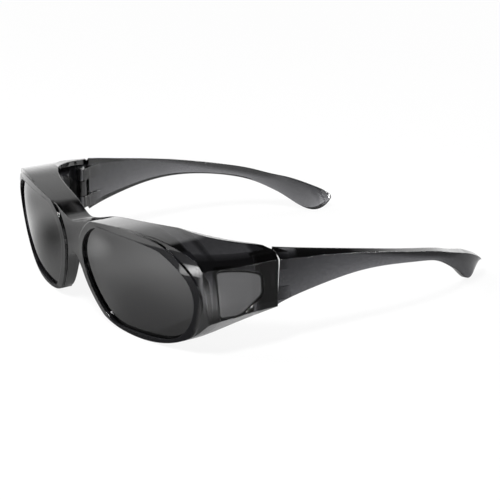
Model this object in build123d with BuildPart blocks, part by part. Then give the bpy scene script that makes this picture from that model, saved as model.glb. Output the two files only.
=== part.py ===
from build123d import *
import os
from math import sqrt

os.makedirs("parts", exist_ok=True)

# Fitover sunglasses, standing on a table with both arms open.
# X points to the wearer's left, Y from the brow back to the arm tips, Z up.
# The origin is on the table, under the middle of the whole pair.
# Every setback is a distance behind the foremost point of the brow, and every inset a distance in from
# the widest point of the side walls.

# Overall sizes
overall_depth = 164.0
half_width = 75.7
front_height = 44.4
cut_overrun = 20.0

# Front lenses: each a piece of one sphere
lens_radius = 126.0
lens_pole_x = 13.7
lens_pole_drop = 8.3
lens_nose_margin = 9.0
lens_side_margin = 7.2
lens_top_margin = 3.0
lens_bottom_margin = 2.0
lens_thickness = 2.0
lens_groove_depth = 0.9
lens_clearance = 0.05

# Front frame moulding
bead_proud = 1.2
bead_width = 2.9
face_proud = 0.5
rim_behind_lens = 3.4
opening_overcut = 0.3
wall = 2.6
roof_wall = 2.0
end_wall = 3.8
brow_dip = 6.6
bridge_height = 13.3
bridge_setback = 9.8
bridge_side_setback = 10.6
shelf_setback = 15.8
arch_setback = 6.6
nose_flange_setback = 7.4
rim_rear_setback = 12.4
shelf_side_inset = 16.2
shelf_side_setback = 30.4
shelf_end_inset = 9.3
corner_setback = 15.6
corner_inset = 3.0
bow_middle_inset = 0.6
parting_setback = 46.2
crease_drop = 3.3
crease_lean = 35
rail_drop = 4.6
roof_start_setback = 16.0
roof_start_rise = 1.2
roof_end_drop = 6.1
roof_start_fall_share = 0.30
roof_end_fall_share = 0.12
lip_setback = 12.6
lip_height = 11.6
lip_end_height = 16.4

# Side windows
window_front_margin = 5.3
window_rear_margin = 6.8
window_top_margin = 4.2
window_bottom_drop = 0.4
window_top_bulge = 0.9
window_small_corner_radius = 1.2
window_rear_corner_radius = 3.0
window_bottom_corner_radius = 7.0
window_rebate_width = 0.6
window_rebate_depth = 1.7
side_lens_thickness = 1.2

# Hinges
pin_inset = 6.7
pin_to_parting = 4.4
pin_radius = 0.9
pin_hold_clearance = 0.02
pin_run_clearance = 0.05
pin_head_radius = 1.6
pin_head_height = 0.7
knuckle_radius = 2.4
knuckle_gap = 0.2
hinge_top_margin = 3.3
hinge_bottom_margin = 1.4
hinge_headroom = 0.4
middle_knuckle_share = 0.395

# Arms
arm_gap = 0.5
arm_root_rise = 0.2
arm_root_thickness = 5.0
arm_root_tuck = 3.0
arm_widest_setback = 86.0
arm_front_bow_radius = 400.0
arm_rear_bow_radius = 152.0
arm_foot_share = 0.62
leaf_grip = 7.0

# Places that follow from those sizes
brow_y = -overall_depth / 2
parting_y = brow_y + parting_setback
lens_width = half_width - lens_nose_margin - lens_side_margin
lens_height = front_height - lens_top_margin - lens_bottom_margin
lens_middle_x = lens_nose_margin + lens_width / 2
lens_middle_height = lens_bottom_margin + lens_height / 2
lens_pole_height = front_height - lens_pole_drop
lens_centre_y = brow_y + bead_proud + lens_radius
brow_middle_height = front_height - brow_dip
arch_height = brow_middle_height - bridge_height
split_height = (brow_middle_height + arch_height) / 2
roof_end_height = front_height - roof_end_drop
end_wall_inner_x = half_width - end_wall
crease_height = roof_end_height - crease_drop
corner_x = half_width - corner_inset
bow_middle_x = half_width - bow_middle_inset
bow_middle_setback = (corner_setback + parting_setback) / 2
window_length = parting_setback - corner_setback - window_front_margin - window_rear_margin
window_bottom = lip_end_height - window_bottom_drop
window_height = roof_end_height - window_top_margin - window_bottom
pin_x = half_width - pin_inset
pin_y = parting_y - pin_to_parting
hinge_bottom = lip_end_height + hinge_bottom_margin
hinge_top = roof_end_height - hinge_top_margin
middle_bottom = hinge_bottom + (hinge_top - hinge_bottom) * (1 - middle_knuckle_share) / 2
middle_top = hinge_top - (middle_bottom - hinge_bottom)
arm_front_y = parting_y + arm_gap
arm_length = overall_depth / 2 - arm_front_y
arm_root_height = roof_end_height + arm_root_rise
root_to_widest = brow_y + arm_widest_setback - arm_front_y
arm_bow = arm_front_bow_radius - sqrt(arm_front_bow_radius**2 - root_to_widest**2)
arm_widest_x = half_width - arm_root_thickness / 2 + arm_bow

# Lens outline, as shares of the lens width and height from its middle
lens_outline_shares = [
    (-0.112, -0.500), (0.140, -0.482), (0.362, -0.383), (0.487, -0.132), (0.487, 0.190), (0.344, 0.401),
    (0.092, 0.487), (-0.169, 0.490), (-0.399, 0.414), (-0.500, 0.193), (-0.456, -0.137), (-0.327, -0.401),
]

# Half of the front outline, as shares of the half width and the front height
rim_bottom_shares = [
    (0.045, 0.502), (0.076, 0.422), (0.117, 0.287), (0.172, 0.150), (0.285, 0.043), (0.422, 0.005),
    (0.528, 0.001), (0.659, 0.026), (0.771, 0.083), (0.859, 0.163), (0.955, 0.302), (1.070, 0.470),
]
brow_top_shares = [
    (1.070, 0.829), (0.985, 0.837), (0.939, 0.860), (0.859, 0.924), (0.753, 0.977), (0.621, 1.000),
    (0.449, 0.991), (0.317, 0.968), (0.172, 0.923), (0.066, 0.869),
]

# Corners of the side window, as shares of its length and height from its front lower corner
window_corner_shares = [(0.080, 0.000), (0.000, 1.000), (0.985, 0.790), (1.000, 0.370), (0.510, 0.000)]

# Left arm, one row a section: place along the arm as a share of its length, then heights as shares of the
# root height (the ridge, the crease's drop below it, the inner foot, the outer foot's rise above that), then
# the thickness and how far the foot tucks in as shares of those sizes at the root
arm_section_shares = [
    (0.000, 1.000, 0.096, 0.399, 0.030, 1.00, 0.50), (0.100, 0.943, 0.066, 0.484, 0.030, 0.88, 0.42),
    (0.231, 0.870, 0.030, 0.560, 0.020, 0.76, 0.35), (0.400, 0.769, 0.014, 0.584, 0.014, 0.69, 0.28),
    (0.580, 0.648, 0.012, 0.512, 0.010, 0.68, 0.27), (0.720, 0.534, 0.016, 0.383, 0.010, 0.75, 0.48),
    (0.836, 0.420, 0.017, 0.163, 0.010, 0.86, 0.84), (0.900, 0.342, 0.017, 0.024, 0.012, 0.86, 1.00),
    (0.940, 0.284, 0.018, 0.002, 0.016, 0.78, 1.02), (0.978, 0.219, 0.020, 0.064, 0.026, 0.56, 0.84),
    (1.000, 0.160, 0.012, 0.130, 0.010, 0.26, 0.34),
]


def on_front(shares):
    """A point of the front outline, from its shares of the half width and height."""
    return shares[0] * half_width, shares[1] * front_height


def opposite(points):
    """The same points on the other side of the middle, in the other order."""
    return [(-across, along) for across, along in reversed(points)]


def beside(path, steps, distance):
    """Points along a path, moved square to it by a distance to its right, and the directions there."""
    shares = [step / steps for step in range(steps + 1)]
    directions = [path.tangent_at(share) for share in shares]
    places = [path.position_at(share) for share in shares]
    return [(p.X + distance * d.Y, p.Y - distance * d.X) for p, d in zip(places, directions)], directions


def face_body(radius):
    """Both lens spheres and the straight band between their poles, as one solid of revolution."""
    with BuildPart() as body:
        with BuildSketch(Plane((0, lens_centre_y, lens_pole_height))):
            with BuildLine():
                Line((-lens_pole_x - radius, 0), (lens_pole_x + radius, 0))
                CenterArc((lens_pole_x, 0), radius, 0, -90)
                Line((lens_pole_x, -radius), (-lens_pole_x, -radius))
                CenterArc((-lens_pole_x, 0), radius, -90, -90)
            make_face()
        revolve(axis=Axis((0, lens_centre_y, lens_pole_height), (1, 0, 0)))
    return body.part


def lens_sketch(growth):
    """The outline of the left lens grown all round, seen from the front, as two smooth halves."""
    points = [
        (lens_middle_x + across * lens_width, lens_middle_height + up * lens_height)
        for across, up in lens_outline_shares
    ]
    half = len(points) // 2
    grown, directions = beside(Spline(*points, periodic=True), len(points), growth)
    with BuildSketch(Plane.XZ) as outline:
        with BuildLine():
            Spline(*grown[: half + 1], tangents=(directions[0], directions[half]))
            Spline(*grown[half:], tangents=(directions[half], directions[0]))
        make_face()
    return outline.sketch


def lens_blank(growth, front_radius, rear_radius):
    """A stretch of the lens shell inside the grown lens outline."""
    outline, front_body, rear_body = lens_sketch(growth), face_body(front_radius), face_body(rear_radius)
    with BuildPart() as blank:
        extrude(outline, amount=-brow_y + cut_overrun)
        add(front_body, mode=Mode.INTERSECT)
        add(rear_body, mode=Mode.SUBTRACT)
    return blank.part


def above_roof(clearance):
    """The space above the roof line, which falls from the brow to the hinges, seen from the side."""
    start = (brow_y + roof_start_setback, front_height + roof_start_rise - clearance)
    end_y = parting_y + cut_overrun
    end = (end_y, roof_end_height - clearance - roof_end_fall_share * cut_overrun)
    top = front_height + cut_overrun
    with BuildSketch(Plane.YZ.offset(-overall_depth)) as space:
        with BuildLine():
            Spline(start, end, tangents=((1, -roof_start_fall_share), (1, -roof_end_fall_share)))
            Polyline(end, (end_y, top), (start[0], top), start)
        make_face()
    return space.sketch


def below_lip(clearance):
    """The space under the lower lip, which rises from the rims to the hinges, seen from the side."""
    start = (brow_y + lip_setback, -cut_overrun)
    end = (parting_y + cut_overrun, lip_end_height + cut_overrun / 2 + clearance)
    with BuildSketch(Plane.YZ.offset(-overall_depth)) as space:
        with BuildLine():
            Spline(
                start,
                (brow_y + lip_setback, clearance - wall),
                (brow_y + bow_middle_setback, lip_height + clearance),
                (parting_y, lip_end_height + clearance),
                end,
            )
            Polyline(end, (end[0], -cut_overrun), start)
        make_face()
    return space.sketch


def between_walls(inset, height):
    """Plan of everything that lies between the bowed side walls, set in from their outer faces."""
    corner = (corner_x - inset, brow_y + corner_setback)
    bow_middle = (bow_middle_x - inset, brow_y + bow_middle_setback)
    end = (half_width - inset, parting_y)
    with BuildSketch(Plane.XY.offset(height)) as plan:
        with BuildLine():
            ThreePointArc(corner, bow_middle, end)
            Polyline(end, (end[0], parting_y + cut_overrun), (0, parting_y + cut_overrun))
            Polyline((0, brow_y - cut_overrun), (corner[0], brow_y - cut_overrun), corner)
            mirror(about=Plane.YZ)
        make_face()
    return plan.sketch


def wall_body(inset, drop):
    """The space between the side walls, upright up to their crease, or a drop below it, then leaning in."""
    plan = between_walls(inset, crease_height - drop)
    with BuildPart() as body:
        extrude(plan, amount=-overall_depth)
        extrude(plan, amount=cut_overrun, taper=crease_lean)
    return body.part


def behind(middle_setback, nose_setback, lens_setback):
    """Plan of the space behind the moulding: its scooped rear edge and the end faces at the hinges."""
    edge_points = [
        (lens_nose_margin, brow_y + nose_setback),
        (lens_middle_x, brow_y + lens_setback),
        (half_width - shelf_side_inset, brow_y + shelf_side_setback),
        (half_width - shelf_end_inset, pin_y),
    ]
    end_points = [
        (end_wall_inner_x, parting_y),
        (half_width + cut_overrun, parting_y),
        (half_width + cut_overrun, parting_y + cut_overrun),
    ]
    with BuildSketch(Plane.XY.offset(split_height)) as plan:
        with BuildLine():
            edge = Spline(*opposite(edge_points), (0, brow_y + middle_setback), *edge_points)
            Polyline(edge @ 1, *end_points, *opposite(end_points), edge @ 0)
        make_face()
    return plan.sketch


def window_sketch(plane, growth):
    """The outline of a side window grown all round, seen from the side."""
    front = brow_y + corner_setback + window_front_margin
    corners = [
        (front + along * window_length, window_bottom + up * window_height)
        for along, up in window_corner_shares
    ]
    radii = [
        window_small_corner_radius,
        window_small_corner_radius,
        window_rear_corner_radius,
        window_rear_corner_radius,
        window_bottom_corner_radius,
    ]
    with BuildSketch(plane) as outline:
        with BuildLine():
            Line(corners[0], corners[1])
            SagittaArc(corners[1], corners[2], window_top_bulge)
            Polyline(*corners[2:], corners[0])
        make_face()
        for corner, radius in zip(corners, radii):
            fillet(outline.vertices().sort_by_distance(corner)[0], radius)
        if growth:
            offset(amount=growth, kind=Kind.ARC)
    return outline.sketch


def knuckle(low, high, web_points, hole_radius):
    """A knuckle round the left pin with a web, given as steps from the pin, and the hole for the pin."""
    with BuildPart() as piece:
        with BuildSketch(Plane.XY.offset(low)):
            with Locations((pin_x, pin_y)):
                Circle(knuckle_radius)
            with BuildLine():
                Polyline(*[(pin_x + across, pin_y + back) for across, back in web_points], close=True)
            make_face()
        extrude(amount=high - low)
        with Locations((pin_x, pin_y, high)):
            Hole(radius=hole_radius)
    return piece.part


def arm_middle_x(y):
    """Middle of the left arm's thickness: two arcs that meet where the arms are widest apart."""
    along = y - brow_y - arm_widest_setback
    radius = arm_front_bow_radius if along < 0 else arm_rear_bow_radius
    return arm_widest_x - radius + sqrt(radius**2 - along**2)


# Front outline: nose arch, rims, roof and brow, running out past the side walls
rim_points = [on_front(shares) for shares in rim_bottom_shares]
brow_points = [on_front(shares) for shares in brow_top_shares]
with BuildSketch(Plane.XZ.offset(-overall_depth)) as front_outline:
    with BuildLine():
        lower = Spline(*opposite(rim_points), (0, arch_height), *rim_points)
        upper = Spline(*brow_points, (0, brow_middle_height), *opposite(brow_points))
        Line(lower @ 1, upper @ 0)
        Line(upper @ 1, lower @ 0)
    make_face()

# The same outline a wall thickness further in, for the hollow behind the rims
inner_lower, _ = beside(lower, 2 * len(rim_points), -wall)
inner_upper, _ = beside(upper, 2 * len(brow_points), -wall)
with BuildSketch(Plane.XZ.offset(-overall_depth)) as cavity_outline:
    with BuildLine():
        Spline(*inner_lower)
        Spline(*inner_upper)
        Line(inner_lower[-1], inner_upper[0])
        Line(inner_upper[-1], inner_lower[0])
    make_face()

# Plan of the solid end walls that carry the hinges
with BuildSketch(Plane.XY.offset(-overall_depth)) as end_walls:
    with BuildLine():
        Polyline(
            (end_wall_inner_x, parting_y),
            (end_wall_inner_x, pin_y - 2 * knuckle_radius),
            (half_width, pin_y - 3 * knuckle_radius),
            (half_width, parting_y),
            close=True,
        )
    make_face()
    mirror(about=Plane.YZ)

face = face_body(lens_radius + face_proud)
bead_face = face_body(lens_radius + bead_proud)
seat_face = face_body(lens_radius - rim_behind_lens)
bead_outline = lens_sketch(bead_width)
left_opening = lens_blank(0, lens_radius + 2 * bead_proud, lens_radius - rim_behind_lens - opening_overcut)
left_groove = lens_blank(
    lens_groove_depth + lens_clearance,
    lens_radius + lens_clearance,
    lens_radius - lens_thickness - lens_clearance,
)
behind_shelf = behind(bridge_setback, bridge_side_setback, shelf_setback)
behind_rims = behind(arch_setback, nose_flange_setback, rim_rear_setback)
above_outer_roof, above_inner_roof = above_roof(0), above_roof(roof_wall)
below_outer_lip, below_inner_lip = below_lip(0), below_lip(wall)
outer_walls, inner_walls = wall_body(0, 0), wall_body(wall, rail_drop)
rebate_plan = between_walls(window_rebate_depth, -overall_depth)
side_lens_plan = between_walls(window_rebate_depth - side_lens_thickness, -overall_depth)
side_plane = Plane.YZ.offset(-overall_depth)
window_opening = window_sketch(side_plane, 0)
window_rebate = window_sketch(side_plane, window_rebate_width)

# Raised bead round the left lens
with BuildPart() as bead:
    extrude(bead_outline, amount=-brow_y + cut_overrun)
    add(bead_face, mode=Mode.INTERSECT)
    extrude(front_outline.sketch, amount=2 * overall_depth, mode=Mode.INTERSECT)
    add(seat_face, mode=Mode.SUBTRACT)

# The hollow behind the rims, over the wearer's own glasses, with a thick rail left along each crease
with BuildPart() as cavity:
    add(inner_walls)
    add(seat_face, mode=Mode.INTERSECT)
    extrude(cavity_outline.sketch, amount=2 * overall_depth, mode=Mode.INTERSECT)
    extrude(above_inner_roof, amount=2 * overall_depth, mode=Mode.SUBTRACT)
    extrude(below_inner_lip, amount=2 * overall_depth, mode=Mode.SUBTRACT)
    extrude(end_walls.sketch, amount=2 * overall_depth, mode=Mode.SUBTRACT)

# What the side windows take out of the outer faces, for the side lenses to sit in
with BuildPart() as rebate:
    extrude(window_rebate, amount=2 * overall_depth)
    extrude(rebate_plan, amount=2 * overall_depth, mode=Mode.SUBTRACT)

# Room under the shelf, inside each end wall, where the fork of the arm turns
with BuildPart() as hinge_pocket:
    with BuildSketch(Plane.XY.offset(-cut_overrun)):
        with BuildLine():
            Polyline(
                (end_wall_inner_x, pin_y - 2 * knuckle_radius),
                (end_wall_inner_x, parting_y + cut_overrun),
                (end_wall_inner_x / 2, parting_y + cut_overrun),
                (end_wall_inner_x / 2, pin_y - 2 * knuckle_radius),
                close=True,
            )
        make_face()
    extrude(amount=cut_overrun + hinge_top + pin_head_height + hinge_headroom)

# The frame's own knuckle on the left, between the two of the arm
web_reach = end_wall_inner_x + knuckle_gap - pin_x
middle_knuckle = knuckle(
    middle_bottom,
    middle_top,
    [(0, -knuckle_radius), (web_reach, -knuckle_radius), (web_reach, knuckle_radius), (0, knuckle_radius)],
    pin_radius + pin_run_clearance,
)

with BuildPart() as front_frame:
    add(outer_walls)
    add(face, mode=Mode.INTERSECT)
    extrude(front_outline.sketch, amount=2 * overall_depth, mode=Mode.INTERSECT)
    extrude(above_outer_roof, amount=2 * overall_depth, mode=Mode.SUBTRACT)
    extrude(below_outer_lip, amount=2 * overall_depth, mode=Mode.SUBTRACT)
    add(cavity.part, mode=Mode.SUBTRACT)
    extrude(behind_shelf, amount=overall_depth, mode=Mode.SUBTRACT)
    extrude(behind_rims, amount=-overall_depth, mode=Mode.SUBTRACT)
    add(bead.part)
    mirror(bead.part, about=Plane.YZ)
    extrude(window_opening, amount=2 * overall_depth, mode=Mode.SUBTRACT)
    add(rebate.part, mode=Mode.SUBTRACT)
    for space in (left_opening, left_groove, hinge_pocket.part):
        add(space, mode=Mode.SUBTRACT)
        mirror(space, about=Plane.YZ, mode=Mode.SUBTRACT)
    add(middle_knuckle)
    mirror(middle_knuckle, about=Plane.YZ)

# Front lenses, held by their edges in the grooves
with BuildPart() as left_lens:
    add(lens_blank(lens_groove_depth, lens_radius, lens_radius - lens_thickness))
with BuildPart() as right_lens:
    mirror(left_lens.part, about=Plane.YZ)

# Side lenses, cut from a shell that follows the bowed side walls
with BuildPart() as left_side_lens:
    extrude(window_sketch(Plane.YZ, window_rebate_width - lens_clearance), amount=overall_depth)
    extrude(side_lens_plan, amount=2 * overall_depth, mode=Mode.INTERSECT)
    extrude(rebate_plan, amount=2 * overall_depth, mode=Mode.SUBTRACT)
with BuildPart() as right_side_lens:
    mirror(left_side_lens.part, about=Plane.YZ)

# Left arm: a loft through sections that stand across it
with BuildPart() as arm_blank:
    for along, ridge, crease_drop, foot, foot_rise, thickness, tuck in arm_section_shares:
        section_y = arm_front_y + along * arm_length
        section_thickness = thickness * arm_root_thickness
        outer_x = arm_middle_x(section_y) + section_thickness / 2
        ridge_point = (outer_x - section_thickness, ridge * arm_root_height)
        crease_point = (outer_x, (ridge - crease_drop) * arm_root_height)
        outer_foot = (outer_x - tuck * arm_root_tuck, (foot + foot_rise) * arm_root_height)
        inner_foot = (outer_foot[0] - arm_foot_share * section_thickness, foot * arm_root_height)
        with BuildSketch(Plane.XZ.offset(-section_y)):
            with BuildLine():
                Polyline(ridge_point, crease_point, outer_foot, inner_foot, close=True)
            make_face()
    loft()

# The arm's leaf runs forward inside the end wall and forks round the frame's knuckle
leaf_points = [
    (-knuckle_radius, 0),
    (knuckle_radius, 0),
    (knuckle_radius, arm_front_y - pin_y),
    (end_wall_inner_x - pin_x, arm_front_y - pin_y + arm_gap),
    (end_wall_inner_x - pin_x, arm_front_y - pin_y + leaf_grip),
]
hold_radius = pin_radius + pin_hold_clearance
with BuildPart() as left_temple:
    add(arm_blank.part)
    add(knuckle(middle_top + knuckle_gap, hinge_top, leaf_points, hold_radius))
    add(knuckle(hinge_bottom, middle_bottom - knuckle_gap, leaf_points, hold_radius))
with BuildPart() as right_temple:
    mirror(left_temple.part, about=Plane.YZ)

# Hinge pins: tight in the arm's fork, free in the frame's knuckle
with BuildPart() as left_hinge_pin:
    with BuildSketch(Plane.XY.offset(hinge_bottom)):
        with Locations((pin_x, pin_y)):
            Circle(pin_radius)
    extrude(amount=hinge_top - hinge_bottom)
    with BuildSketch(Plane.XY.offset(hinge_top)):
        with Locations((pin_x, pin_y)):
            Circle(pin_head_radius)
    extrude(amount=pin_head_height)
with BuildPart() as right_hinge_pin:
    mirror(left_hinge_pin.part, about=Plane.YZ)

pieces = {
    "front_frame": front_frame,
    "left_lens": left_lens,
    "right_lens": right_lens,
    "left_side_lens": left_side_lens,
    "right_side_lens": right_side_lens,
    "left_temple": left_temple,
    "right_temple": right_temple,
    "left_hinge_pin": left_hinge_pin,
    "right_hinge_pin": right_hinge_pin,
}
for name, piece in pieces.items():
    piece.part.label = name
    export_step(piece.part, f"parts/{name}.step")
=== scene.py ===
# %% [markdown]
# # Fitover sunglasses in smoke-grey plastic
# These glasses are worn over ordinary ones. Almost everything on them is one clear plastic, tinted
# dark grey, so the lesson is mostly about how thickness, edges and the room around it give such a
# plastic its look. The solid model comes in as a fixed frame, in metres, with every piece in place:
# x runs to the wearer's left, y to the back and z up.

# %% Load the frame
import math

import bpy
from mathutils import Matrix, Vector


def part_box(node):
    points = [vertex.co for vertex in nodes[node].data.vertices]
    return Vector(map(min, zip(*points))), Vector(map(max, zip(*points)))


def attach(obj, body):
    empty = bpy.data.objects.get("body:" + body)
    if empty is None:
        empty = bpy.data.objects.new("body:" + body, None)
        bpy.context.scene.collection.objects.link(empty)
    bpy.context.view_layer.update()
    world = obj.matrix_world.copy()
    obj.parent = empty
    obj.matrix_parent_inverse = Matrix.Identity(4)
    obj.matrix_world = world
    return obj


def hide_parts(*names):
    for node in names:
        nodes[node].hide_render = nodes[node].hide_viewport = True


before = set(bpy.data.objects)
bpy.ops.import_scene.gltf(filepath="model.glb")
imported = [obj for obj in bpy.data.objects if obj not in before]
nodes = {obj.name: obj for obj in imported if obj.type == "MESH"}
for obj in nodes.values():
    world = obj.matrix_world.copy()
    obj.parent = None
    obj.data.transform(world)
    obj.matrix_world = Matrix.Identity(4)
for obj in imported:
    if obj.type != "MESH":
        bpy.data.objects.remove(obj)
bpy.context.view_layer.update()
millimetre = 0.001
print("pieces in the frame:", sorted(nodes))


# %% [markdown]
# ## A short way to write shader maths
# A material that varies over a surface needs many small Math nodes. Wrapping a socket in a class whose
# plus and times add those nodes lets the maths be read as ordinary Python, which is why it is used here
# in place of placing and linking each node by hand.

# %% Sockets that can be added and multiplied
class Wire:
    """An output socket on which plus, minus and times add Math nodes."""

    def __init__(self, tree, socket):
        self.tree = tree
        self.socket = socket

    def maths(self, operation, *values, clamp=False):
        node = self.tree.nodes.new("ShaderNodeMath")
        node.operation = operation
        node.use_clamp = clamp
        for slot, value in zip(node.inputs, values):
            plug(self.tree, slot, value)
        return Wire(self.tree, node.outputs[0])

    def __add__(self, other):
        return self.maths("ADD", self, other)

    def __radd__(self, other):
        return self.maths("ADD", other, self)

    def __sub__(self, other):
        return self.maths("SUBTRACT", self, other)

    def __rsub__(self, other):
        return self.maths("SUBTRACT", other, self)

    def __mul__(self, other):
        return self.maths("MULTIPLY", self, other)

    def __rmul__(self, other):
        return self.maths("MULTIPLY", other, self)

    def size(self):
        """The value without its sign."""
        return self.maths("ABSOLUTE", self)

    def or_greater(self, other):
        """This value or the other one, whichever is greater."""
        return self.maths("MAXIMUM", self, other)

    def within_one(self):
        """The value, cut off below 0 and above 1."""
        return self.maths("ADD", self, 0.0, clamp=True)


def plug(tree, slot, value):
    """Link a wire to a socket, or write a plain value on it."""
    if isinstance(value, Wire):
        tree.links.new(value.socket, slot)
    else:
        slot.default_value = value


print("wires can be added, subtracted and multiplied")


# %% A finish, one node at a time
class Finish:
    """A material or a world under construction, with one method for every kind of node."""

    def __init__(self, owner, ending="ShaderNodeOutputMaterial"):
        owner.use_nodes = True
        self.owner = owner
        self.ending = ending
        self.tree = owner.node_tree
        self.tree.nodes.clear()

    def node(self, kind, settings=None, output=0, numbered=None, **named):
        """Add a node: its settings first, then the values or links of its sockets.

        Sockets go by name, or by number where a node has several of one name.
        """
        made = self.tree.nodes.new(kind)
        for name, value in (settings or {}).items():
            setattr(made, name, value)
        for name, value in named.items():
            plug(self.tree, made.inputs[name.replace("_", " ")], value)
        for number, value in (numbered or {}).items():
            plug(self.tree, made.inputs[number], value)
        return Wire(self.tree, made.outputs[output]) if made.outputs else None

    def colour_mix(self, factor, first, second):
        """Mix two colours."""
        return self.node("ShaderNodeMix", {"data_type": "RGBA"}, 2, {0: factor, 6: first, 7: second})

    def blend(self, factor, first, second):
        """Mix two shaders."""
        return self.node("ShaderNodeMixShader", numbered={0: factor, 1: first, 2: second})

    def parts_of(self, vector):
        """The x, y and z of a vector."""
        split = self.node("ShaderNodeSeparateXYZ", Vector=vector)
        return [Wire(self.tree, part) for part in split.socket.node.outputs]

    def end(self, **shaders):
        """Link the finished shaders to the output node."""
        self.node(self.ending, **shaders)
        return self.owner


print("finishes can be made")

# %% [markdown]
# ## Masks
# A mask says where on a piece something happens: 1 there, 0 elsewhere, with a short slope between. It
# could be painted, but here masks are worked out from a position or a direction, so that they fit the
# solid exactly and need no picture.

# %% Slopes that masks are made of
per_millimetre = 1 / millimetre


def beyond(value, start, steepness):
    """0 up to a start, then rising to 1."""
    return ((value - start) * steepness).within_one()


def short_of(value, start, steepness):
    """1 well below a start, falling to 0 at it."""
    return ((start - value) * steepness).within_one()


def eased(value):
    """A rise from 0 to 1 with its two ends made soft."""
    return value * value * (3.0 - 2.0 * value)


print("a slope of one millimetre has a steepness of", per_millimetre)


# %% [markdown]
# ## The tinted plastic
# Frame, arms and lenses are all polycarbonate with a grey dye in it. Painting the grey on the surface
# would make thick and thin places alike. Here the surface is clear and the dye is a Volume Absorption
# shader inside, so a thin wall is light, a thick end block is nearly black, and edges seen along their
# length go black by themselves, as they do on the real thing. Where asked, painted shade darkens the
# tint of chosen places further, and a painted finish of shade or highlight lies over the plastic. The
# Bevel node rounds the look of the moulded edges without touching the solid, so that they catch the
# lamps as fine bright lines. Moulded plastic is never quite even: a broad haze varies its gloss, a fine
# grain its tint, and a very low ripple bends its reflections.

# %% Tinted plastic finish
plastic_refraction = 1.58
dye_colour = (0.0, 0.0, 0.02, 1.0)
# The darker tint of painted shade, laid over the thick and leaning places.
painted_shade_tint = (0.03, 0.03, 0.035, 1.0)


def tinted_plastic(
    name,
    dye_per_metre,
    clear_share=1.0,
    tone=0.97,
    grain_share=0.3,
    least_roughness=0.02,
    ripple_height=0.06 * millimetre,
    edge_radius=0.0,
    painted_shade_places=None,
    painted_light_layer=None,
):
    """Clear plastic with dye inside, and where asked a darker tint of painted shade or a painted finish
    over it.

    The clear share is how much of the surface lets light in, and the tone is how light its tint is.
    """
    finish = Finish(bpy.data.materials.new(name))
    place = finish.node("ShaderNodeTexCoord", output="Object")
    grain = finish.node("ShaderNodeTexNoise", Vector=place, Scale=900.0, Detail=4.0, Roughness=0.7)
    haze = finish.node("ShaderNodeTexNoise", Vector=place, Scale=70.0, Detail=4.0)
    ripple = finish.node("ShaderNodeTexNoise", Vector=place, Scale=45.0, Detail=1.0)
    clear = (tone, tone, tone * 1.02, 1.0)
    speck = tuple(share * (1 - grain_share) for share in clear)
    tint = finish.colour_mix(beyond(grain, 0.35, 3.0), speck, clear)
    # Painted shade: where a mask asks for it, the tint goes darker.
    if painted_shade_places:
        tint = finish.colour_mix(painted_shade_places(finish, place), tint, painted_shade_tint)
    relief_sockets = {"Strength": 0.5, "Distance": ripple_height, "Height": ripple}
    if edge_radius:
        relief_sockets["Normal"] = finish.node("ShaderNodeBevel", {"samples": 8}, Radius=edge_radius)
    relief = finish.node("ShaderNodeBump", **relief_sockets)
    surface = finish.node(
        "ShaderNodeBsdfPrincipled",
        Base_Color=tint,
        Roughness=haze * 0.05 + least_roughness,
        IOR=plastic_refraction,
        Transmission_Weight=clear_share,
        Normal=relief,
    )
    # A painted finish over the plastic: shade on the lens bead, or a highlight on an arm's edge.
    if painted_light_layer:
        surface = painted_light_layer(finish, place, relief, surface)
    dye = finish.node("ShaderNodeVolumeAbsorption", Color=dye_colour, Density=dye_per_metre)
    return finish.end(Surface=surface, Volume=dye)


print("plastic with a refraction of", plastic_refraction)

# %% [markdown]
# ## Painted shade where the front is thick
# Light that enters a thick or leaning part of the moulding hardly comes out again. The dye shows only a
# part of that, so these places get a darker tint of painted shade as well: the rims, the roof, the
# leaning facet over each side window, the rib ahead of the window and the end walls. Each is found from
# its position on the piece, and the facet also from the way that it faces.

# %% Painted shade on the thick places of the front
rim_back = -67.0 * millimetre
roof_low = 35.0 * millimetre
facet_low = 28.0 * millimetre
rib_middle = -61.8 * millimetre
rib_reach = 1.4 * millimetre
end_wall_front = -44.2 * millimetre


def front_painted_shade(finish, place):
    """Near 1 where the front gets painted shade, as it is thick or leans. The number before each mask is
    its strength.
    """
    _, along, above = finish.parts_of(place)
    sideways, _, upward = finish.parts_of(finish.node("ShaderNodeNewGeometry", output="True Normal"))
    rims = 0.93 * short_of(along, rim_back, per_millimetre)
    roof = 0.66 * beyond(above, roof_low, 1.2 * per_millimetre)
    leaning = beyond(sideways.size(), 0.5, 6.0) * beyond(upward.size(), 0.3, 6.0)
    facets = 0.92 * leaning * beyond(above, facet_low, per_millimetre)
    ribs = 0.90 * short_of((along - rib_middle).size(), rib_reach, 3.0 * per_millimetre)
    end_walls = 0.95 * beyond(along, end_wall_front, 1.5 * per_millimetre)
    return rims.or_greater(roof).or_greater(facets).or_greater(ribs).or_greater(end_walls)


print("the roof is thick from", round(roof_low / millimetre, 1), "mm up")

# %% [markdown]
# ## The bead round each lens
# On the real frame a rounded bead runs round each lens. It looks black, and shines only at one upper
# corner. Rounding it in the solid would show the same, but the solid has a flat rim there, so painted
# shade stands in for it: a black and less glossy finish with weak reflections, blended over the tinted
# plastic. It leaves out the bridge and the glossy corner.

# %% Painted shade on the bead
bridge_half = 20.0 * millimetre
bead_high = 41.5 * millimetre
corner_middle = 35.0 * millimetre
corner_reach = 2.2 * millimetre
corner_inner = 64.0 * millimetre
bead_shade_share = 0.96


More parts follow.
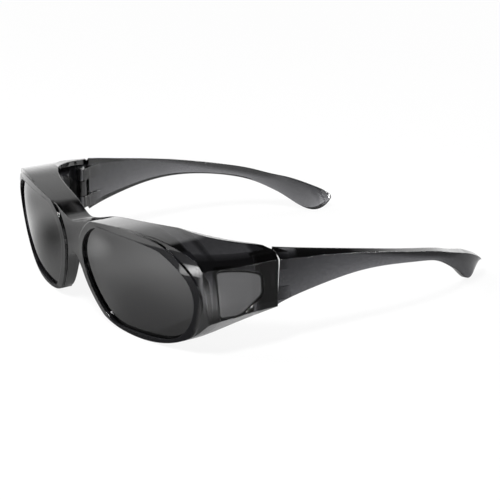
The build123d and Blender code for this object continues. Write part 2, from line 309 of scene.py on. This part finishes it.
def bead_painted_shade(finish, place, relief, surface):
    """Paint shade on the bead round each lens, away from the bridge and but for one glossy corner."""
    across, along, above = finish.parts_of(place)
    outer = beyond(across.size(), bridge_half, 0.3 * per_millimetre)
    low = short_of(above, bead_high, 1.5 * per_millimetre)
    rims = short_of(along, rim_back, 1.5 * per_millimetre) * low
    corner = short_of((above - corner_middle).size(), corner_reach, 3.0 * per_millimetre)
    corner = corner * beyond(across.size(), corner_inner, 2.0 * per_millimetre)
    # The painted shade: black, with weak reflections.
    shade_black = finish.node(
        "ShaderNodeBsdfPrincipled",
        Base_Color=(0.006, 0.006, 0.007, 1.0),
        Roughness=0.15,
        IOR=1.16,
        Normal=relief,
    )
    return finish.blend(rims * outer * (1.0 - corner) * bead_shade_share, surface, shade_black)


print("the glossy corner is", round(2 * corner_reach / millimetre, 1), "mm high")

# %% [markdown]
# ## The arms
# An arm is a tapering bar. Its top facet and its lower edge lean away from the light and look darker
# than its side, and so does a band along the top of its rear half, above a line that falls with the
# arm; that is painted shade in its tint. Its front edge catches the light as a fine pale line where it
# meets the end wall, so that edge gets a painted highlight: a pale dull finish over the plastic.

# %% Painted shade and painted highlight of the arms
arm_front = -35.0 * millimetre
arm_outside = 73.5 * millimetre
arm_fall = 0.2725
dark_line_height = 30.1 * millimetre
dark_line_end = 62.0 * millimetre
highlight_share = 0.9


def arm_painted_shade(finish, place):
    """Painted shade: near 1 on an arm's top facet and lower edge, and along the top of its rear half."""
    _, _, upward = finish.parts_of(finish.node("ShaderNodeNewGeometry", output="True Normal"))
    _, along, above = finish.parts_of(place)
    edges = 0.90 * beyond(upward.size(), 0.30, 6.0)
    top = beyond(above + arm_fall * along, dark_line_height, 0.5 * per_millimetre)
    top = top * short_of(along, dark_line_end, 0.15 * per_millimetre)
    return edges.or_greater(0.85 * top)


def painted_highlight_edge(finish, place, relief, surface):
    """Paint a fine pale highlight line on an arm's front edge, where it meets the end wall."""
    across, along, _ = finish.parts_of(place)
    outside = beyond(across.size(), arm_outside, 2.0 * per_millimetre)
    line = short_of(along, arm_front, 8.0 * per_millimetre)
    # The painted highlight: a pale dull finish.
    painted_highlight = finish.node(
        "ShaderNodeBsdfPrincipled",
        Base_Color=(0.8, 0.8, 0.81, 1.0),
        Roughness=0.35,
        Normal=relief,
    )
    return finish.blend(line * outside * highlight_share, surface, painted_highlight)


print("the arms' front edge is at", round(arm_front / millimetre, 1), "mm")

# %% [markdown]
# ## Four settings of the plastic
# The frame and the arms have rounded edges and some grain. The lenses are polished and nearly black, so
# that one sees little but the mirrored room on them. The side windows are a little paler, and half of
# their grey is on the surface, which evens them out.

# %% Plastics of the frame, arms, lenses and windows
frame_plastic = tinted_plastic(
    "smoke_frame_plastic",
    dye_per_metre=680.0,
    edge_radius=0.5 * millimetre,
    painted_shade_places=front_painted_shade,
    painted_light_layer=bead_painted_shade,
)
arm_plastic = tinted_plastic(
    "smoke_arm_plastic",
    dye_per_metre=720.0,
    grain_share=0.22,
    ripple_height=0.08 * millimetre,
    edge_radius=0.6 * millimetre,
    painted_shade_places=arm_painted_shade,
    painted_light_layer=painted_highlight_edge,
)
lens_plastic = tinted_plastic(
    "smoke_lens_plastic",
    dye_per_metre=900.0,
    tone=0.10,
    grain_share=0.05,
    least_roughness=0.0,
    ripple_height=0.01 * millimetre,
)
window_plastic = tinted_plastic(
    "smoke_window_plastic",
    dye_per_metre=900.0,
    clear_share=0.5,
    tone=0.16,
    grain_share=0.05,
    least_roughness=0.01,
    ripple_height=0.01 * millimetre,
)
print("tinted plastics:", frame_plastic.name, arm_plastic.name, lens_plastic.name, window_plastic.name)


# %% [markdown]
# ## Steel of the hinge screws
# The screws are bright turned steel. A fine noise stretched round the screw would be lost at this size,
# so a plain fine noise in the roughness stands for the tool marks.

# %% Bright steel finish
def bright_steel(name):
    finish = Finish(bpy.data.materials.new(name))
    place = finish.node("ShaderNodeTexCoord", output="Object")
    brushing = finish.node("ShaderNodeTexNoise", Vector=place, Scale=4000.0, Detail=2.0)
    surface = finish.node(
        "ShaderNodeBsdfPrincipled",
        Base_Color=(0.62, 0.62, 0.63, 1.0),
        Metallic=1.0,
        Roughness=brushing * 0.15 + 0.22,
    )
    return finish.end(Surface=surface)


pin_steel = bright_steel("pin_steel")
print("steel:", pin_steel.name)


# %% [markdown]
# ## Hinge screws
# Each arm turns on a small steel screw that goes down through the fork. A turned screw is a cylinder
# whose head is a wider step with a rounded rim and a slot, so it is modelled that way: a cylinder, its
# top face extruded and widened for the head, a bevel on the head's rim, and a slot cut by a Boolean.
# One screw is modelled at the left hinge, and the right one is a copy with its own mesh.

# %% Model the left screw
pin_low, pin_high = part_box("left_hinge_pin")
screw_middle = (pin_low + pin_high) / 2
shaft_radius = 0.9 * millimetre
head_radius = 1.55 * millimetre
head_height = 0.7 * millimetre
shaft_height = pin_high.z - pin_low.z - head_height

bpy.ops.object.select_all(action="DESELECT")
bpy.ops.mesh.primitive_cylinder_add(
    vertices=48,
    radius=shaft_radius,
    depth=shaft_height,
    location=(screw_middle.x, screw_middle.y, pin_low.z + shaft_height / 2),
)
left_screw = bpy.context.object
left_screw.name = "left_hinge_screw"
bpy.ops.object.transform_apply(location=True, rotation=True, scale=True)
print("screw shaft", round(shaft_height / millimetre, 2), "mm long")


# %% Widen its top into a head and round the rims
def select_where(piece, faces=None, edges=None):
    """In edit mode, select only the faces or edges that pass the given test."""
    bpy.ops.mesh.select_all(action="DESELECT")
    bpy.ops.object.mode_set(mode="OBJECT")
    mesh = piece.data
    if faces:
        for face in mesh.polygons:
            face.select = faces(face.normal)
    if edges:
        for edge in mesh.edges:
            first, second = (mesh.vertices[index].co for index in edge.vertices)
            edge.select = edges(first, second)
    bpy.ops.object.mode_set(mode="EDIT")


head_inset = 0.02 * millimetre
end_margin = 0.01 * millimetre
head_rounding = 0.25 * millimetre
tip_rounding = 0.15 * millimetre
bpy.ops.object.mode_set(mode="EDIT")
bpy.ops.mesh.select_mode(type="FACE")
select_where(left_screw, faces=lambda normal: normal.z > 0.9)
bpy.ops.mesh.inset(thickness=head_inset)
bpy.ops.mesh.extrude_region_move()
widening = head_radius / (shaft_radius - head_inset)
bpy.ops.transform.resize(value=(widening, widening, 1.0))
bpy.ops.mesh.extrude_region_move(TRANSFORM_OT_translate={"value": (0, 0, head_height)})
bpy.ops.mesh.select_mode(type="EDGE")
select_where(left_screw, edges=lambda first, second: min(first.z, second.z) > pin_high.z - end_margin)
bpy.ops.mesh.bevel(offset=head_rounding, segments=3, affect="EDGES")
select_where(left_screw, edges=lambda first, second: max(first.z, second.z) < pin_low.z + end_margin)
bpy.ops.mesh.bevel(offset=tip_rounding, segments=2, affect="EDGES")
bpy.ops.object.mode_set(mode="OBJECT")
head_width = round(2 * head_radius / millimetre, 2)
print("screw head", head_width, "mm across,", len(left_screw.data.polygons), "faces")

# %% Cut the slot
slot_width = 0.4 * millimetre
slot_depth = 0.35 * millimetre
bpy.ops.object.select_all(action="DESELECT")
bpy.ops.mesh.primitive_cube_add(size=1.0, location=(screw_middle.x, screw_middle.y, pin_high.z))
cutter = bpy.context.object
cutter.dimensions = (3 * head_radius, slot_width, 2 * slot_depth)
bpy.ops.object.transform_apply(location=True, rotation=True, scale=True)
bpy.context.view_layer.objects.active = left_screw
slot_cut = left_screw.modifiers.new("slot", "BOOLEAN")
slot_cut.operation = "DIFFERENCE"
slot_cut.object = cutter
bpy.ops.object.modifier_apply(modifier=slot_cut.name)
bpy.data.objects.remove(cutter)
bpy.ops.object.select_all(action="DESELECT")
left_screw.select_set(True)
smooth_below = math.radians(35)
bpy.ops.object.shade_smooth_by_angle(angle=smooth_below)
left_screw.data.materials.append(pin_steel)
print("slotted screw:", len(left_screw.data.polygons), "faces")

# %% Copy it to the right hinge and let both ride with their arms
right_screw = left_screw.copy()
right_screw.data = left_screw.data.copy()
right_screw.name = "right_hinge_screw"
right_screw.data.transform(Matrix.Translation((-2 * screw_middle.x, 0, 0)))
bpy.context.scene.collection.objects.link(right_screw)
for screw, side in ((left_screw, "left"), (right_screw, "right")):
    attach(screw, f"{side}_arm")
    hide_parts(f"{side}_hinge_pin")
print("screws ride with the arms")


# %% [markdown]
# ## Painted shade rings round the side windows
# A fine black ring lies round each side window and stands a little proud of it. It is painted shade: a
# dark piece put where the window's stepped edge is in shade. It follows the window's own edge, so it is
# made from that edge: a copy of the window keeps only its side faces, and a Solidify modifier thickens
# them inwards, starting a hair inside the window's wall. The right one is the left one mirrored, with
# its own mesh.

# %% Black finish of the painted shade rings
def black_shade_finish(name):
    finish = Finish(bpy.data.materials.new(name))
    place = finish.node("ShaderNodeTexCoord", output="Object")
    dust = finish.node("ShaderNodeTexNoise", Vector=place, Scale=1500.0, Detail=3.0)
    surface = finish.node(
        "ShaderNodeBsdfPrincipled",
        Base_Color=finish.colour_mix(dust, (0.004, 0.004, 0.004, 1.0), (0.010, 0.010, 0.010, 1.0)),
        Roughness=dust * 0.2 + 0.3,
        IOR=1.3,
    )
    return finish.end(Surface=surface)


# Black for the painted shade rings round the windows.
shade_ring_black = black_shade_finish("shade_ring_black")
print("rubber:", shade_ring_black.name)

# %% Make the left shade ring from the window's edge
shade_ring_width = 0.75 * millimetre
shade_ring_height = 0.08 * millimetre
same_point = 0.001 * millimetre
left_window = nodes["left_side_lens"]
bpy.ops.object.select_all(action="DESELECT")
left_shade_ring = bpy.data.objects.new("left_window_shade_ring", left_window.data.copy())
bpy.context.scene.collection.objects.link(left_shade_ring)
left_shade_ring.matrix_world = left_window.matrix_world
bpy.context.view_layer.objects.active = left_shade_ring
left_shade_ring.select_set(True)
bpy.ops.object.transform_apply(location=True, rotation=True, scale=True)
bpy.ops.mesh.customdata_custom_splitnormals_clear()
bpy.ops.object.mode_set(mode="EDIT")
bpy.ops.mesh.select_mode(type="FACE")
select_where(left_shade_ring, faces=lambda normal: abs(normal.x) > 0.5)
bpy.ops.mesh.delete(type="FACE")
bpy.ops.mesh.select_all(action="SELECT")
bpy.ops.mesh.remove_doubles(threshold=same_point)
bpy.ops.transform.translate(value=(shade_ring_height, 0, 0))
bpy.ops.object.mode_set(mode="OBJECT")
thicken = left_shade_ring.modifiers.new("thicken", "SOLIDIFY")
thicken.thickness = shade_ring_width
thicken.offset = -1.05
thicken.use_even_offset = True
bpy.ops.object.modifier_apply(modifier=thicken.name)
bpy.ops.object.shade_smooth_by_angle(angle=smooth_below)
left_shade_ring.data.materials.clear()
left_shade_ring.data.materials.append(shade_ring_black)
print("seal:", len(left_shade_ring.data.polygons), "faces")

# %% Mirror it to the right window
right_shade_ring = left_shade_ring.copy()
right_shade_ring.data = left_shade_ring.data.copy()
right_shade_ring.name = "right_window_shade_ring"
right_shade_ring.data.transform(Matrix.Scale(-1, 4, (1, 0, 0)))
right_shade_ring.data.flip_normals()
bpy.context.scene.collection.objects.link(right_shade_ring)
# The painted shade rings ride with the front.
for shaded_ring in (left_shade_ring, right_shade_ring):
    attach(shaded_ring, "front")
print("seals ride with the front")


# %% [markdown]
# ## Dress the solid pieces
# The solids already have the right shape, so they stay as they are and only get their finish.

# %% One finish for each solid piece
def dress(node_name, material):
    """Put one finish on a piece that came with the frame."""
    mesh = nodes[node_name].data
    mesh.materials.clear()
    mesh.materials.append(material)


finishes = {
    "front_frame": frame_plastic,
    "left_temple": arm_plastic,
    "right_temple": arm_plastic,
    "left_lens": lens_plastic,
    "right_lens": lens_plastic,
    "left_side_lens": window_plastic,
    "right_side_lens": window_plastic,
    "left_hinge_pin": pin_steel,
    "right_hinge_pin": pin_steel,
}
for piece_name, finish_material in finishes.items():
    dress(piece_name, finish_material)
print("dressed", len(finishes), "pieces")


# %% [markdown]
# ## The table
# The photograph has a pure white ground. A white ground lit until it clips would flood the plastic with
# light, so the table's own colour is plain white paper, and only what looks straight at it, mirrors it
# or sees through to it gets an even white glow on top, which takes over completely far out. Half of what
# a glossy dark object shows is the mirrored table, so for mirrored rays alone the glow is laid out in
# soft cards, as a photographer lays them out of view: paler ones in front and on the wearer's right,
# darker ones close to the far lens and all along the near side, and three small bright spots for single
# highlights. Right under the glasses Ambient Occlusion takes the mirrored glow away, as their shadow
# would.

# %% Lay the table
floor_size = 4.0
bpy.ops.object.select_all(action="DESELECT")
bpy.ops.mesh.primitive_plane_add(size=floor_size, location=(0, 0, 0))
floor = bpy.context.object
floor.name = "table_top"
print("table", floor_size, "m wide")

# %% Cards in its glow
# Each card has its middle and its reach in metres, and its strength.
paler_cards = (
    ((0.034, -0.180, 0.0), 0.100, 1.50),
    ((-0.065, -0.245, 0.0), 0.090, 1.40),
    ((-0.060, -0.124, 0.0), 0.035, 1.40),
)
darker_cards = (
    ((-0.078, -0.101, 0.0), 0.055, 0.90),
    ((-0.150, -0.080, 0.0), 0.060, 0.45),
    ((0.020, -0.105, 0.0), 0.045, 0.30),
)
bright_spots = (
    ((0.060, -0.164, 0.0), 0.020, 9.00),
    ((0.136, -0.064, 0.0), 0.030, 2.60),
    ((0.068, -0.046, 0.0), 0.030, 0.80),
)
right_card_start = -0.09
right_card_strength = 0.6
near_side_start = 0.07
near_side_slant = 0.25
near_side_middle = -0.06
near_side_strength = 0.88
shadow_reach = 0.04


def soft_spot(finish, place, middle, reach):
    """1 in the middle of a round spot, falling softly to nothing at its reach."""
    away = finish.node("ShaderNodeVectorMath", {"operation": "DISTANCE"}, "Value", {0: place, 1: middle})
    return eased((1.0 - away * (1.0 / reach)).within_one())


def mirrored_cards(finish, place):
    """How strongly the table glows for rays that mirror it."""
    across, along, _ = finish.parts_of(place)
    cards = 1.0 + right_card_strength * short_of(across, right_card_start, 4.0)
    for middle, reach, strength in paler_cards:
        cards = cards + strength * soft_spot(finish, place, middle, reach)
    for middle, reach, strength in darker_cards:
        cards = cards * (1.0 - strength * soft_spot(finish, place, middle, reach))
    slanted = across + near_side_slant * (along - near_side_middle)
    near_side = beyond(slanted, near_side_start, 25.0)
    open_share = finish.node("ShaderNodeAmbientOcclusion", {"samples": 16}, "AO", Distance=shadow_reach)
    cards = cards * (1.0 - near_side_strength * near_side) * open_share * open_share
    for middle, reach, strength in bright_spots:
        cards = cards + strength * soft_spot(finish, place, middle, reach)
    return cards


print("cards:", len(paler_cards), "paler,", len(darker_cards), "darker,", len(bright_spots), "bright spots")

# %% White table
glow_share = 0.88
far_start = 0.4


def white_table(name):
    finish = Finish(bpy.data.materials.new(name))
    place = finish.node("ShaderNodeTexCoord", output="Object")
    straight = finish.node("ShaderNodeLightPath", output="Is Camera Ray")
    mirrored = finish.node("ShaderNodeLightPath", output="Is Glossy Ray")
    through = finish.node("ShaderNodeLightPath", output="Is Transmission Ray")
    only_mirrored = mirrored * (1.0 - through) * (1.0 - straight)
    shine = straight + through + only_mirrored * mirrored_cards(finish, place)
    glow = finish.node("ShaderNodeEmission", Color=(1.0, 1.0, 1.0, 1.0), Strength=shine)
    paper = finish.node("ShaderNodeBsdfDiffuse", Color=(0.82, 0.82, 0.82, 1.0))
    distance = finish.node("ShaderNodeVectorMath", {"operation": "LENGTH"}, "Value", {0: place})
    far = beyond(distance, far_start, 2.0)
    share = (straight + mirrored + through).within_one() * (glow_share + (1.0 - glow_share) * far)
    return finish.end(Surface=finish.blend(share, paper, glow))


floor.data.materials.append(white_table("white_table"))
print("table laid")

# %% [markdown]
# ## The room
# Round the horizon the room is white and overhead it is dark, as in a studio whose ceiling is out of
# the light. The roof and the walls of the frame pick up the pale horizon, while its leaning top edges
# mirror the dark ceiling and go black. A soft panel high at the back right is there for the flat tops,
# which mirror it towards the camera. The camera itself sees plain white.

# %% Room
ceiling_glow = 0.04
horizon_glow = 1.56
panel_glow = 0.80
horizon_top = 0.05
ceiling_rise = 0.34
panel_side = Vector((-0.80, 0.42, 0.43)).normalized()
panel_edge = 0.935
panel_softness = 0.030
room = Finish(bpy.data.worlds.new("studio"), "ShaderNodeOutputWorld")
bpy.context.scene.world = room.owner
outward = room.node("ShaderNodeTexCoord", output="Generated")
_, _, height = room.parts_of(outward)
near_ceiling = beyond(height, horizon_top, 1 / ceiling_rise)
horizon = 1.0 - eased(near_ceiling)
facing = room.node(
    "ShaderNodeVectorMath", {"operation": "DOT_PRODUCT"}, "Value", {0: outward, 1: panel_side}
)
panel = beyond(facing, panel_edge, 1 / panel_softness)
room_glow = ceiling_glow + horizon_glow * horizon + panel_glow * panel * near_ceiling
lit = room.node("ShaderNodeBackground", Color=(1.0, 1.0, 1.0, 1.0), Strength=room_glow)
seen = room.node("ShaderNodeBackground", Color=(1.0, 1.0, 1.0, 1.0), Strength=1.0)
looking = room.node("ShaderNodeLightPath", output="Is Camera Ray")
room.end(Surface=room.blend(looking, lit, seen))
print("room made")

# %% [markdown]
# ## Lamps
# Soft boxes give the fine bright lines on rounded edges. The key hangs over the front left and puts the
# highlight on the upper corner of the bead. A broad fill at the front right keeps the far half readable.
# A long low strip at the back left draws the line along the crease of the near arm, and a wide soft box
# right at the back lights the glasses from behind.

# %% Lamps
# Each lamp has its place and its size in metres, and its power in watts.
lamp_target = Vector((0, 0, 0.02))
lamps = {
    "key_softbox": ((0.24, -0.36, 0.62), (0.16, 0.16), 5.0),
    "fill_softbox": ((-0.70, -0.60, 0.70), (0.90, 0.90), 10.0),
    "strip_softbox": ((0.85, 0.62, 0.30), (0.70, 0.10), 3.5),
    "back_softbox": ((-0.10, 0.95, 0.60), (0.60, 0.30), 4.0),
}
for lamp_name, (lamp_place, lamp_size, lamp_power) in lamps.items():
    lamp_data = bpy.data.lights.new(lamp_name, "AREA")
    lamp_data.shape = "RECTANGLE"
    lamp_data.size, lamp_data.size_y = lamp_size
    lamp_data.energy = lamp_power
    lamp = bpy.data.objects.new(lamp_name, lamp_data)
    bpy.context.scene.collection.objects.link(lamp)
    lamp.location = lamp_place
    lamp.rotation_euler = (lamp_target - lamp.location).to_track_quat("-Z", "Y").to_euler()
print("lamps:", ", ".join(lamps))

# %% [markdown]
# ## Camera
# The photograph was taken from the front left of the wearer, a little above the glasses, with a long
# lens: the two hinges are nearly the same size in it. Its place and angle were worked out from the
# outlines of the front, the side window and both arms.

# %% Camera
picture_width = 500
focal_pixels = 1769.6
camera_turn = math.radians(56.677)
camera_rise = math.radians(18.026)
camera_roll = math.radians(-0.083)
camera_distance = 0.7332
camera_target = Vector((0, -0.0012, 0.025))
picture_middle = (243.7, 216.1)
sensor_width = 36
backwards = Vector((
    math.sin(camera_turn) * math.cos(camera_rise),
    -math.cos(camera_turn) * math.cos(camera_rise),
    math.sin(camera_rise),
))
camera_data = bpy.data.cameras.new("camera")
camera_data.sensor_width = sensor_width
camera_data.lens = sensor_width * focal_pixels / picture_width
camera_data.shift_x = (picture_width / 2 - picture_middle[0]) / picture_width
camera_data.shift_y = (picture_middle[1] - picture_width / 2) / picture_width
camera = bpy.data.objects.new("camera", camera_data)
bpy.context.scene.collection.objects.link(camera)
camera.location = camera_target + backwards * camera_distance
turned = backwards.to_track_quat("Z", "Y").to_matrix() @ Matrix.Rotation(camera_roll, 3, "Z")
camera.rotation_euler = turned.to_euler()
bpy.context.scene.camera = camera
bpy.context.scene.view_settings.view_transform = "Standard"
print("camera at", [round(value, 4) for value in camera.location])
